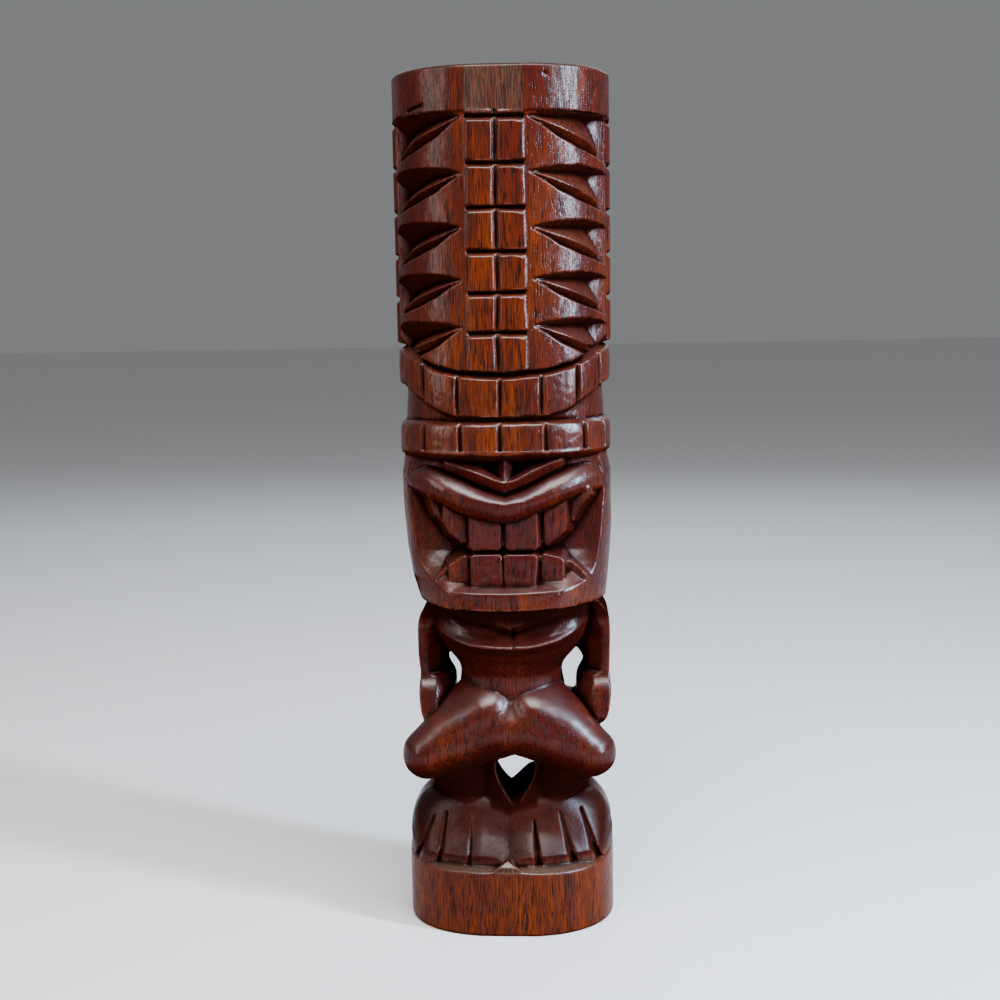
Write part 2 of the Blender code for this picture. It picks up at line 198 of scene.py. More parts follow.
def wedge_relief(u, z, tip, fall, left, to_side):
    """Depth of one wedge cut. u runs from 0 at its tip to 1 at the flank, which is to_side away."""
    top = tip + curve(u, (0, 0.3), (0.12, 1.8), (0.27, 2.7), (0.5, 3.3), (0.77, 2.9), (0.9, 1.8), (1, 0.2))
    valley = np.where(left, curve(u, (0, 0), (0.27, -1.2), (0.5, -3.4), (0.72, -5.2), (1, -7.4)),
                      curve(u, (0, 0), (0.12, -0.3), (0.27, -0.3), (0.5, 0.3), (1, -0.4))) + tip
    ridge = tip + fall * curve(
        u, (0, -0.5), (0.12, -1.9), (0.27, -4.3), (0.5, -7.5), (0.77, -11.4), (1, -15.2))
    low = tip + fall * curve(
        u, (0, -0.9), (0.12, -4.0), (0.27, -8.9), (0.5, -13.6), (0.77, -16.9), (1, -19.0))
    valley = np.maximum(valley, ridge + 0.6)
    groove = low + 0.22 * (ridge - low)
    deep = curve(u, (0, 0.3), (0.12, 2.4), (0.45, 5.8), (0.75, 7.6), (1, 7.0))
    lip = curve(u, (0, 0.2), (0.3, 1.5), (0.75, 2.8), (1, 3.4))
    cut = lip + curve(u, (0, 0.6), (0.3, 2.0), (0.7, 2.2), (1, 1.6))

    def run(z_high, z_low, d_high, d_low):
        t = np.clip((z_high - z) / (z_high - z_low), 0.0, 1.0)
        return d_high + (d_low - d_high) * t

    depth = run(top, valley, 0.0, deep)
    depth = np.where(z < valley, run(valley, ridge, deep, lip), depth)
    depth = np.where(z < ridge, run(ridge, groove, lip, cut), depth)
    depth = np.where(z < groove, run(groove, low, cut, 0.0), depth)
    depth = np.minimum(depth, np.where(left, 1.5, 0.62) * to_side)
    return np.where((z > top) | (z < low) | (u <= 0) | (u >= 1.0), 0.0, depth)


BAND_TOP = ((0, 267.4), (20, 268.6), (34, 271.6), (46, 276.5), (60, 280.5), (90, 282.5))
BAND_LOW = ((0, 247.0), (22, 247.6), (32, 250.5), (42, 255.5), (56, 261.5), (90, 264.5))


def log_relief(z):
    """Depth of every cut below the log's surface, for each arc length and height."""
    s = ARCS[:, None]
    z = z[None, :]
    wander = 0.35 * lattice(s, z, 17.0, 3) + 0.12 * lattice(s, z, 5.0, 4)
    zw = z + wander
    sw = s + 0.3 * lattice(z, s, 15.0, 5)
    side = np.abs(sw)
    behind = side > QUARTER
    from_centre = np.where(behind, 2 * QUARTER - side, side)
    left = sw < 0
    strip_edge = np.where(left, -STRIP[0], STRIP[1]) + 0.2

    # Headdress: strips of tiles at the four quarters, wedge cuts between them.
    flank = QUARTER - from_centre
    on_side = flank < SIDE_HALF
    plate = fade(from_centre, strip_edge - 1.2, strip_edge + 0.5) * 0.9
    plate = np.where(on_side, 0.9 * fade(flank, SIDE_HALF - 1.8, SIDE_HALF), plate)
    relief = np.broadcast_to(plate, (len(ARCS), z.shape[1])).copy()
    tip_at = strip_edge + curve(z, (286, 3.2), (383, 1.8))
    end_at = QUARTER - SIDE_HALF - 0.5
    u = (from_centre - tip_at) / (end_at - tip_at)
    for row, tip in enumerate(WEDGE_TIPS):
        nudge = np.where(left, (0.2, -0.1, 0.0, 0.3, -0.4)[row], 0.0)
        relief += wedge_relief(u, zw, tip + nudge, WEDGE_FALLS[row], left, end_at - from_centre)
    in_strip = (from_centre < strip_edge) | on_side
    for row, cut in enumerate(TILE_CUTS):
        shift = np.where(on_side, (0.6, 1.0, 0.2, 0.0, -1.6, -1.0)[row], 0.0)
        bevel = 2.4 + 1.0 * fade(sw, 6.0, 11.0) * (side < 12)
        crossed = in_strip & ~(on_side & (cut < 290.0))
        relief = np.where(crossed, np.maximum(relief, notch(zw, cut + shift, 1.0, bevel, 2.9)), relief)
    spine = np.where(on_side, flank * np.sign(side - QUARTER), from_centre * np.sign(sw) + 1.6)
    groove = 1.9 * np.clip(1.0 - np.abs(spine + 0.15) / 1.9, 0.0, 1.0)
    relief = np.where(in_strip & (z > 268), np.maximum(relief, groove), relief)

    # Rim: plain, with faint vertical facets.
    rim = 0.25 + 0.35 * np.clip(np.cos(from_centre / 15.0 * np.pi) - 0.2, 0, 1)
    over = fade(zw, 384.6, 385.3)
    plain = (u <= 0.0) | (u >= 1.0)
    along = s + 41.0
    slit = np.clip(1.0 - np.abs(z - 388.2 - 0.22 * along) / 0.8, 0, 1) * fade(6.0 - np.abs(along), 0.0, 2.0)
    dent = np.clip(1.0 - np.hypot(s - 21.5, z - 401.0) / 1.6, 0, 1)
    rim = rim + 1.8 * slit + 0.8 * dent
    relief = np.where(zw > 385.4, rim, np.where(plain & ~in_strip, relief * (1 - over) + rim * over, relief))
    relief += 1.6 * np.clip((z - (HEIGHT - 1.3)) / 1.3, 0.0, 1.0) ** 2

    # Two headbands of square blocks.
    top = curve(from_centre, *BAND_TOP)
    low = curve(from_centre, *BAND_LOW)
    fifth = np.clip((from_centre - 34) / 16, 0, 1) * notch(zw, 279.0, 7.0, 5.0, 5.5)
    relief = np.where(on_side, relief, np.maximum(relief, fifth * (z < 288)))
    splits = {
        "upper": (-58.0, -40.5, -21.3, -1.2, 18.4, 37.0, 52.5),
        "lower": (-56.0, -40.5, -20.5, -1.4, 20.3, 41.0, 58.0),
    }
    cuts = {}
    for band, places in splits.items():
        lines = list(places) + [QUARTER, -QUARTER]
        lines += [np.sign(p) * (2 * QUARTER - abs(p)) for p in places if abs(p) > 5]
        lines += [2 * QUARTER, -2 * QUARTER]
        depth = np.zeros_like(relief)
        for p in lines:
            depth = np.maximum(depth, 2.5 * np.clip(1.0 - np.abs(sw - p) / 1.9, 0.0, 1.0))
        cuts[band] = depth
    height = (zw - low) / (top - low)
    upper = 0.5 + 1.6 * np.abs(height - 0.45) ** 2
    upper = np.maximum(upper, np.clip((zw - (top - 3.2)) / 3.0, 0, 1) * 4.6)
    upper = np.maximum(upper, np.clip(((low + 1.4) - zw) / 1.4, 0, 1) * 3.4)
    upper = np.maximum(upper, cuts["upper"])
    seam = notch(zw, top + 0.1, 1.3, 0.6, 4.4)
    in_upper = (zw <= top) & (zw > low)
    relief = np.where(in_upper, upper, np.where(zw > top, np.maximum(relief, seam), relief))
    hollow = 3.6 + 0.06 * (zw - 247) * fade(from_centre, 30, 50)
    hollow = np.minimum(hollow, 3.0 + (low - zw) * 1.2)
    relief = np.where((zw <= low) & (zw > 246.5), hollow, relief)
    lower = 0.4 + 0.9 * np.abs((zw - 236.5) / 8.0) ** 4
    lower = np.maximum(lower, np.clip((zw - 243.2) / 3.2, 0, 1) * 4.0)
    lower = np.maximum(lower, np.clip((230.6 - zw) / 3.6, 0, 1) * 5.0)
    lower = np.maximum(lower, cuts["lower"] * (zw > 229))
    relief = np.where(zw <= 246.5, lower, relief)
    return relief.astype(np.float32)


# ---------------------------------------------------------------- the face, cut from the front

LIP_TOP = ((-48, 216), (-45, 221), (-38, 225.2), (-30, 224), (-20, 220.4), (-8, 215), (0, 212.8),
           (8, 215.4), (20, 221), (30, 224.6), (38, 225.6), (44, 223.5), (50, 217))
LIP_CREST = ((-48, 217), (-35, 216), (-20, 210.8), (-8, 207.2), (0, 206), (8, 207.2), (20, 211.2),
             (35, 215.8), (48, 216))
LIP_LOW = ((-48, 214.5), (-46, 214.5), (-33, 208.6), (-15, 201.2), (-3, 198.8), (5, 199.2), (20, 205.2),
           (38, 212), (50, 212))
NOSE_TOP = ((-30, 229.5), (-24, 227.6), (-12, 224.6), (-4, 220.2), (0, 218.5), (4, 219.6), (12, 224),
            (20, 227), (26, 229))
NOSE_EDGE = ((-30, 227.6), (-24, 226), (-12, 221.8), (-5, 218.9), (0, 217.2), (5, 218.4), (12, 221.8),
             (20, 225.4), (26, 227.6))
NOSE_LOW = ((-30, 224.6), (-24, 222.4), (-12, 217.2), (0, 212.6), (12, 217.4), (24, 222.8), (30, 225))
JAW_EDGE = ((-44, 173), (-38, 168), (-25, 166), (0, 165.4), (25, 166), (38, 168.6), (44, 174))
JAW_LOW = ((-44, 170), (-40, 165.2), (-37, 162.6), (-33, 160.4), (-20, 158.3), (0, 157.5), (20, 158),
           (34, 160.3), (40, 162.4), (44, 166))
UPPER_TEETH = (
    [(-36, 211), (-33, 201.5), (-30.2, 199), (-29.4, 209)],
    [(-28.3, 208), (-28.7, 199), (-26, 193.5), (-20.5, 189), (-18.2, 189), (-18.0, 208)],
    [(-15.8, 208), (-16.2, 187), (-15, 186), (-3.4, 186), (-2.6, 187), (-2.4, 208)],
    [(0.8, 208), (0.8, 186.6), (2, 185.8), (13.6, 186), (15, 187.4), (14.8, 208)],
    [(18.2, 212), (18.6, 188.4), (20, 187.6), (24, 190.2), (28, 194), (28.6, 198), (28.2, 212)],
    [(30.4, 214), (30.8, 198.4), (32, 198.6), (36, 205.5), (39.5, 210.5), (39.5, 214)],
)
LOWER_TEETH = (
    [(-33, 171.5), (-27.6, 177), (-27.2, 166), (-33, 166)],
    [(-26.2, 166), (-26.2, 178.4), (-19.6, 182.6), (-18, 182), (-17.6, 166)],
    [(-15.8, 166), (-16, 182), (-15, 183), (-3, 182.8), (-2, 181.8), (-2, 166)],
    [(-0.2, 166), (-0.6, 182), (0.6, 182.8), (13.4, 182.9), (14.6, 181.8), (13.4, 166)],
    [(17.2, 166), (16.8, 181.8), (18.5, 182.9), (25.8, 181.4), (27.2, 180), (27, 166)],
    [(29, 166), (28.6, 179.4), (31, 178.6), (36, 174), (39, 171), (39, 166)],
)
UPPER_BED = [(-33, 212), (-29, 196), (-20, 190), (-15, 187.5), (14, 187.5), (20, 189.5), (28, 195), (36, 207),
             (38, 214)]
LOWER_BED = [(-36, 164), (-31, 172), (-19, 181), (15, 181.4), (26, 179.6), (37, 172), (40, 164)]


def teeth(y, x, z, rows, face, lean):
    """The front surface y with one row of teeth added to it."""
    for number, outline in enumerate(rows):
        edge = outline_distance(x, z, outline) - 0.5
        turn = (0.12, -0.05, 0.03, -0.03, 0.06, -0.14)[number]
        middle = sum(p[0] for p in outline) / len(outline)
        flat = face(middle) + turn * (x - middle) + lean * (z - 185)
        tooth = flat + 0.8 * np.clip(edge + 0.8, 0, 1.0) ** 2 + 3.2 * np.clip(edge, 0, None)
        y = np.minimum(y, tooth)
    return y


def face_front(z):
    """Depth (the y of the front surface) over the face, for each width and height."""
    x = GX[:, None]
    z = z[None, :]
    x = x + 0.25 * lattice(x, z, 13.0, 11)
    z = z + 0.25 * lattice(z, x, 12.0, 12)
    log = -front_depth(x)
    ax = np.abs(x)

    # Bowl of the mouth, shallower towards its rim.
    middle = curve(z, (157, -46), (166, -41.5), (172, -35.5), (178, -30.0), (184, -26.6), (192, -24.6),
                   (213, -22.5), (229, -24))
    rim = curve(z, (157, -38), (160, -34), (175, -28.2), (192, -24.8), (213, -21.4), (229, -24))
    mix = fade(ax, 26, 43)
    scoop = 1.6 * np.sin(np.pi * np.clip((ax - 22) / 24, 0, 1)) * fade(z, 172, 186)
    y = middle * (1 - mix) + rim * mix + scoop

    y = teeth(y, x, z, UPPER_TEETH, lambda m: -41.5 + 0.008 * m * m, -0.05)
    y = teeth(y, x, z, LOWER_TEETH, lambda m: -40.5 + 0.007 * m * m, 0.02)
    # Roots of the teeth: the row's own bed, a little behind the tooth faces.
    bed = outline_distance(x, z, UPPER_BED)
    y = np.minimum(y, -39.4 + 0.008 * x * x + 3.0 * np.clip(bed, 0, None))
    bed = outline_distance(x, z, LOWER_BED)
    y = np.minimum(y, -38.4 + 0.007 * x * x + 3.0 * np.clip(bed, 0, None))

    # Lower lip: a lit top and an upright front.
    edge, low = curve(x, *JAW_EDGE), curve(x, *JAW_LOW)
    front = log + 0.6 + 0.9 * np.clip((edge - z) / 9.0, 0, 1) ** 2
    lip = np.where(z > edge, front + (z - edge) * 1.55 + 0.05 * (z - edge) ** 2, front)
    lip = lip + 3.5 * np.clip(low - z, 0, None) + 0.3 * np.clip(1 - np.abs(z - edge), 0, 1)
    lip = np.where(z > edge + 6.5, 0, lip)
    y = soft_min(y, lip, 0.5)

    # Upper lip: a rolled V.
    top, crest, low = curve(x, *LIP_TOP), curve(x, *LIP_CREST), curve(x, *LIP_LOW)
    up = np.clip((z - crest) / np.maximum(top - crest, 0.5), 0, 3)
    down = np.clip((crest - z) / np.maximum(crest - low, 0.5), 0, 1)
    reach = curve(ax, (0, 9.0), (30, 8.0), (42, 5.0), (50, 2.0))
    lip = log + 0.9 + reach * np.where(up < 1, up ** 1.7, 1 + 3.0 * (up - 1)) + 1.6 * down ** 2
    lip = lip + 3.6 * np.clip(low - z, 0, None)
    y = soft_min(y, lip, 0.6)

    # Brow: eye hollows under the lower headband, the V of the nose ridge, and the nose.
    hollow = log + curve(ax, (0, 15.5), (14, 14.5), (20, 10), (30, 7.0), (50, 4.0))
    gap = z > top - 0.2
    y = np.where(gap, np.minimum(y, hollow), y)
    above, edge, below = curve(x, *NOSE_TOP), curve(x, *NOSE_EDGE), curve(x, *NOSE_LOW)
    ridge = log + 2.6 + 0.05 * ax
    rise = np.clip((z - edge) / np.maximum(above - edge, 0.3), 0, 4)
    ridge = ridge + 2.8 * np.minimum(rise, 1) + 9.0 * np.clip(rise - 1, 0, None)
    ridge = ridge + 0.28 * np.clip(edge - z, 0, None) + 3.0 * np.clip(below - z, 0, None)
    ridge = np.where(ax > 27, ridge + (ax - 27) * 1.5, ridge)
    y = np.minimum(y, ridge)
    nose = log + 2.9 + 1.4 * np.abs(x - 0.2)
    nose = nose + 0.35 * np.clip(z - 219, 0, None) + 3.0 * np.clip(216.5 - z, 0, None)
    y = np.minimum(y, np.where(ax < 4, nose, 0))
    ceiling = log + 1.0 + (230.0 - z) * 2.4
    return soft_min(y, ceiling, 0.6)


def head_sides(z):
    """How far the sides of the head are in from the log, on the left and on the right."""
    left = curve(z, (156, 9.5), (160, 7.6), (171, 4.6), (184, 2.4), (200, 1.2), (220, 0.8),
                 (229, 2.2), (232, 0))
    right = curve(z, (156, 4.0), (160, 3.0), (166, 2.2), (178, 1.0), (190, 0.4), (220, 0.2),
                  (229, 2.2), (232, 0))
    return left, right


# ---------------------------------------------------------------- body and legs

TOE_CUTS = (
    (-43.5, 37.5, -37.5, 52.0, 1.6),
    (-34.0, 36.0, -31.0, 54.0, 1.7),
    (-19.6, 34.0, -18.2, 56.0, 1.5),
    (13.6, 34.0, 11.6, 51.5, 2.5),
    (30.0, 35.0, 24.0, 54.5, 2.1),
    (41.0, 37.0, 34.5, 55.0, 2.0),
)
RIDGE = ((-40, 150), (-34, 145), (-26, 141.5), (-18, 139.4), (0, 138.4), (12, 138.8), (25, 141.2),
         (34, 145.5), (42, 151))


def smooth_curve(v, *points):
    """A curve through (v, value) points, rounded at each."""
    reach = 2.5
    return sum(curve(v + shift, *points) for shift in (-reach, -reach / 2, 0.0, reach / 2, reach)) / 5


def trunk(x, y, z):
    """Chest and belly: a waisted column with a sharp ridge under the breast."""
    centre = 1.6
    lift = smooth_curve(x[:, 0, 0], *RIDGE)[:, None, None] - 138.4
    lift = np.where(y < 0, lift, lift * 0.3)
    bent = z - lift * fade(z, 118, 136)
    wide = smooth_curve(z, (96, 24), (112, 26.4), (119, 25.0), (124, 24.8), (128, 27.4), (133, 32.4),
                        (141, 37.5), (150, 40), (160, 40))
    front = curve(bent, (100, 26), (110, 29.2), (117, 30.6), (123, 31.2), (129, 32.8), (134, 35.6),
                  (138.2, 39.6), (138.9, 39.4), (141, 36.6), (144, 34.2), (149, 33.0), (160, 33.5))
    collar = 143.5 + 0.30 * np.abs(x - centre)
    front = front - 3.0 * np.clip(1.0 - np.abs(z - collar) / 3.4, 0, 1) * fade(32.0 - np.abs(x), 0.0, 12.0)
    back = smooth_curve(z, (96, 32), (116, 31), (130, 27), (140, 31), (150, 34), (160, 36))
    half = np.where(y < 0, front, back)
    ratio = (np.abs((x - centre) / wide) ** POWER + np.abs(y / half) ** POWER) ** (1 / POWER)
    body = (ratio - 1.0) * np.minimum(wide, half) * 0.9
    for at, low in ((-13.5, 146.8), (16.5, 147.6)):
        hollow = ellipsoid(x, y, z - 0.28 * (x - at) * np.sign(at), (at, -38.5, low), (13.5, 7.6, 4.6))
        body = soft_max(body, -hollow, 1.6)
    cleft = np.abs(x - 2.6) * 0.9 + 0.5 * (y + front) - 0.3
    body = np.where(y < -20, soft_max(body, -np.maximum(cleft, np.abs(z - 142.5) - 4.5), 1.6), body)
    spine = np.abs(x - centre) * 0.8 - 1.8 + 0.6 * np.abs(y - back)
    return np.where(y > 0, soft_max(body, -spine, 1.5), body)


def arm(x, y, z, side, outer, inner):
    """An arm hanging from the shoulder, with a narrow front edge and an inner face slanting to the body."""
    px = side * x
    reach = smooth_curve(z, (90, outer - 9.0), (97, outer - 4.6), (103, outer - 1.6), (110, outer - 0.4),
                         (114, outer), (119, outer - 0.3), (122, outer - 0.8), (130, outer), (146, outer),
                         (152, outer - 1.4), (156, outer - 5.0), (160, outer - 9))
    thin = smooth_curve(z, (92, inner - 4), (104, inner - 4), (117, inner - 3.6), (122, inner), (126, inner),
                        (131, inner - 2.0), (135, inner - 7), (140, inner - 10), (158, inner - 12))
    fore = smooth_curve(z, (92, -23), (104, -24), (116, -21), (121, -17), (127, -17.5), (134, -18.5),
                        (148, -21), (158, -17))
    limb = np.maximum(px - reach, np.maximum(fore - y, y - 19.0 - 0.05 * (z - 120)))
    limb = soft_max(limb, thin - px, 1.0)
    narrow = curve(z, (96, 7.0), (112, 9.0), (120.5, 9.0), (122.5, 4.2), (140, 4.4), (150, 7.0), (158, 9.0))
    limb = soft_max(limb, (outer - narrow - px) * 0.78 - (y - fore) * 0.62, 0.9)
    limb = soft_max(limb, (px - outer + 0.8) * 0.8 - (y - fore) * 0.6, 0.8)
    limb = soft_max(limb, (px - outer) * 0.7 + (y - 12) * 0.7 - 1.0, 2.0)
    limb = soft_max(limb, 92.0 - z + 0.3 * np.abs(y + 4), 4.0)
    return soft_max(limb, z - 158.5, 1.0)


def thigh(x, y, z, side):
    """One thigh, from the hip out to the knee at the log's corner, with a worn flat on top."""
    centre = 1.3
    hip = round_cone(x, y, z, (centre + side * 14.5, -19.5, 104.6), (side * 39.6, -25.5, 84.8), 17.6, 11.6)
    low = round_cone(x, y, z, (centre + side * 8.0, -23.5, 95.6), (side * 39.2, -25.5, 84.4), 14.2, 11.4)
    limb = soft_min(hip, low, 2.0)
    limb = soft_max(limb, facet(x, y, z, (side * 0.36, -0.60, 0.72), (side * 24.0, -33.0, 108.6)), 7.0)
    return soft_max(limb, y - 6.0, 1.0)


def foot_dome(x, y, z):
    """Both feet as one swelling over the plinth: upright at the flanks, sloping at the toes."""
    inset = PLAN[:, :, None] + 1.0 + 4.0 * fade(-y, 8.0, 36.0) * fade(46.0 - np.abs(x), 0.0, 18.0)
    into = np.clip(-inset, 0, None)
    toe = fade(-y, 6.0, 34.0)
    power = 2.3 - 1.22 * toe
    run = 19.0 + 6.0 * toe
    share = np.clip(into / run, 0, 1)
    floor = 40.6 - 3.0 * toe
    rise = (1.0 - (1.0 - share) ** power) ** (1 / power)
    crown = floor + (64.5 - floor) * rise
    deep = curve(-y, (-40, 10), (-12, 6.5), (5, 4.4), (40, 3.4))
    valley = np.clip(1.0 - np.abs(x + 0.9) / 11.0, 0, 1) ** 1.3 * deep
    slope = 0.66 + 0.2 * toe
    return np.maximum((z - crown + valley) * slope, inset * 0.95)


def lower_body(x, y, z):
    """Everything between the plinth and the chin."""
    wobble = 0.35 * lattice(x[:, :, 0], y[:, :, 0], 14.0, 21)[:, :, None]
    wobble = wobble + 0.35 * lattice(x[:, 0, :], z[0], 12.0, 22)[:, None, :]
    wobble = wobble + 0.35 * lattice(y[0], z[0], 12.0, 23)[None, :, :]
    body = trunk(x, y, z)
    seat = ellipsoid(x, y, z, (2.0, 12.0, 97.0), (44.0, 27.0, 13.5))
    seat = soft_max(seat, -(np.abs(x - 1.5) - 0.8 + 0.12 * (40 - y)), 2.5)
    body = soft_min(body, seat, 2.5)
    for side, outer, inner in ((-1, 43.6, 31.0), (1, 49.7, 36.6)):
        body = soft_min(body, arm(x, y, z, side, outer, inner), 2.2)
    pair = soft_min(thigh(x, y, z, -1), thigh(x, y, z, 1), 6.0)
    body = soft_min(body, pair, 0.6)

    # Lower legs, with the arch between them, and the feet.
    calf = np.minimum.reduce([
        round_cone(x, y, z, (-17.0, -12.0, 58.0), (-25.5, -13.0, 80.0), 11.0, 17.0),
        round_cone(x, y, z, (17.5, -12.0, 58.0), (27.5, -13.0, 80.0), 10.5, 17.0),
        round_cone(x, y, z, (-17.5, 12.0, 54.0), (-24.5, 12.0, 92.0), 12.0, 17.0),
        round_cone(x, y, z, (20.0, 12.0, 54.0), (27.0, 12.0, 92.0), 12.0, 17.0),
        round_cone(x, y, z, (-9.0, 0.0, 54.0), (-13.0, 0.0, 84.0), 10.5, 12.0),
        round_cone(x, y, z, (13.0, 0.0, 54.0), (18.0, 0.0, 84.0), 10.5, 12.0),
    ])
    calf = soft_max(calf, z - 96.0, 1.0)
    body = soft_min(body, calf, 1.0)
    arch = smooth_curve(z, (50, -6), (59, 0.8), (66, 5.2), (74, 8.8), (79, 9.4), (82, 7.5),
                        (85, 1.0), (88, -6))
    body = soft_max(body, arch + 0.10 * np.clip(y + 24, 0, None) - np.abs(x - 2.6), 1.2)
    feet = foot_dome(x, y, z)
    for x0, z0, x1, z1, half in TOE_CUTS:
        along = (z - z0) / (z1 - z0)
        width = half * np.clip(1.1 - along, 0.05, 1.1) ** 0.6
        aside = np.abs(x - x0 - (x1 - x0) * along) / width
        gouge = (aside + np.clip(-feet, 0, None) / (1.2 * half) - 1.0) * width * 0.7
        gouge = np.maximum(gouge, np.maximum(z - z1 - 1.0, y + 14.0))
        feet = soft_max(feet, -gouge, 0.5)
    body = soft_min(body, feet, 1.2)
    knob = np.maximum(np.abs(x + 1.2) * 0.55 + (z - 36.6) * 0.83, -(y + 43.5) * 0.75 + (z - 34.0) * 0.66)
    knob = np.maximum(np.maximum(knob, y + 28.0), PLAN[:, :, None] + 1.2)
    return np.minimum(body + wobble, knob)


def plinth(z):
    """The oval foot of the log, with an end-grain ledge on top."""
    side = PLAN[:, :, None] - taper(z) + 0.45 * lattice(ARC, np.zeros_like(ARC), 21.0, 31)[:, :, None]
    side = side + 0.9 * np.clip((1.5 - z) / 1.5, 0, 1) ** 2
    bevel = 0.6 * np.clip(5.0 + PLAN, 0, 5.0) * fade(-GY, 12.0, 30.0)[None, :]
    top = z - (LEDGE + 1.6 - bevel + 0.5 * lattice(GX[:, None], GY[None, :], 16.0, 32))[:, :, None]
    return np.maximum(soft_max(side, top, 0.7), -z)


# ---------------------------------------------------------------- the whole carving on one grid

def carving():
    """Signed distance to the carving over the grid, negative in the wood."""
    relief = log_relief(GZ)
    arc_row = np.clip((ARC - ARCS[0]) / ARC_STEP, 0, len(ARCS) - 1.01)
    arc_share = (arc_row % 1.0)[:, :, None]
    arc_row = arc_row.astype(int)
    face = face_front(GZ)
    left, right = head_sides(GZ)
    volume = np.full((len(GX), len(GY), len(GZ)), FAR, np.float32)
    x, y = GX[:, None, None], GY[None, :, None]
    for start in range(0, len(GZ), 40):
        rows = slice(start, start + 40)
        z = GZ[None, None, rows]
        low, high = float(z.min()), float(z.max())
        field = np.full((len(GX), len(GY), z.shape[2]), FAR, np.float32)
        if low < 44:
            field = np.minimum(field, plinth(z))
        if high > 29 and low < 162:
            body = lower_body(x, y, z)
            body = soft_max(body, PLAN[:, :, None] - PROUD, 3.0)
            field = np.minimum(field, np.maximum(body, 30.0 - z))
        side = PLAN[:, :, None] - taper(z)
        if high > 155 and low < 234:
            inset = np.where(GX[:, None] < 0, left[None, rows], right[None, rows])[:, None, :]
            share = fade(np.abs(GX), 24.0, 44.0)[:, None, None]
            nape = np.where(y > 0, 0.6 + 0.5 * left[None, None, rows], 0.0)
            skull = side + inset * share + nape * (1 - share)
            skull = skull + 0.25 * lattice(ARC[:, :, None], z, 14.0, 41)
            cut = (face[:, None, rows] - y) * 0.75
            skull = np.where(y < -6, soft_max(skull, cut, 0.9), skull)
            skull = np.maximum(skull, np.maximum(z - 232.0, 157.4 + 0.03 * np.abs(x) - z))
            field = np.minimum(field, skull)
        if high > 228:
            table = relief[:, rows]
            crown = side + table[arc_row] * (1 - arc_share) + table[arc_row + 1] * arc_share
            field = np.minimum(field, np.maximum(crown, np.maximum(BAND_BASE - z, z - HEIGHT)))
        volume[:, :, rows] = field
    volume = np.maximum(volume, (np.abs(GY) - DEPTH_LIMIT)[None, :, None]).astype(np.float32)
    volume[[0, -1]] = FAR
    volume[:, [0, -1]] = FAR
    volume[:, :, [0, -1]] = FAR
    return volume


def blur(values, reach):
    """Mean over a box of reach cells each way."""
    for axis in range(3):
        total = np.cumsum(values, axis=axis, dtype=np.float64)
        pad = [(0, 0)] * 3
        pad[axis] = (reach + 1, reach)
        total = np.pad(total, pad, mode="edge")
        width = 2 * reach + 1
        upper = np.take(total, range(width, total.shape[axis]), axis=axis)
        lower = np.take(total, range(total.shape[axis] - width), axis=axis)
        values = ((upper - lower) / width).astype(np.float32)
    return values


CORNERS = [(i, j, k) for i in (0, 1) for j in (0, 1) for k in (0, 1)]


def sample(field, points):
    """The field's value at points given in cells, by interpolation."""
    points = np.clip(points, 0, np.array(field.shape) - 1.001)
    cell = points.astype(int)
    share = points - cell
    value = np.zeros(len(points))
    for i, j, k in CORNERS:
        weight = np.abs(1 - np.array((i, j, k)) - share).prod(axis=1)
        value += weight * field[cell[:, 0] + i, cell[:, 1] + j, cell[:, 2] + k]
    return value


def slope(field, points):
    """Gradient of the field, per cell."""
    found = np.empty(points.shape)
    for axis in range(3):
        step = np.eye(3)[axis] * 0.5
        found[:, axis] = sample(field, points + step) - sample(field, points - step)
    return found


def square_up(points, volume, region):
    """Moves points that lie near both the carving's surface and a seam onto the line where they meet."""
    near = (np.abs(sample(volume, points)) < 0.9 * STEP) & (np.abs(sample(region, points)) < 0.9 * STEP)
    moving = points[near]
    for _ in range(3):
        values = np.stack([sample(volume, moving), sample(region, moving)], axis=1)
        first, second = slope(volume, moving), slope(region, moving)
        aa, bb, ab = (first * first).sum(1), (second * second).sum(1), (first * second).sum(1)
        size = aa * bb - ab * ab
        good = size > 0.15 * aa * bb
        size = np.where(good, size, 1.0)
        u = (bb * values[:, 0] - ab * values[:, 1]) / size
        v = (aa * values[:, 1] - ab * values[:, 0]) / size
        move = first * u[:, None] + second * v[:, None]
        length = np.linalg.norm(move, axis=1)
        move *= (np.minimum(length, 0.5) / np.maximum(length, 1e-6) * good)[:, None]
        moving = moving - move
    points[near] = moving
    return points


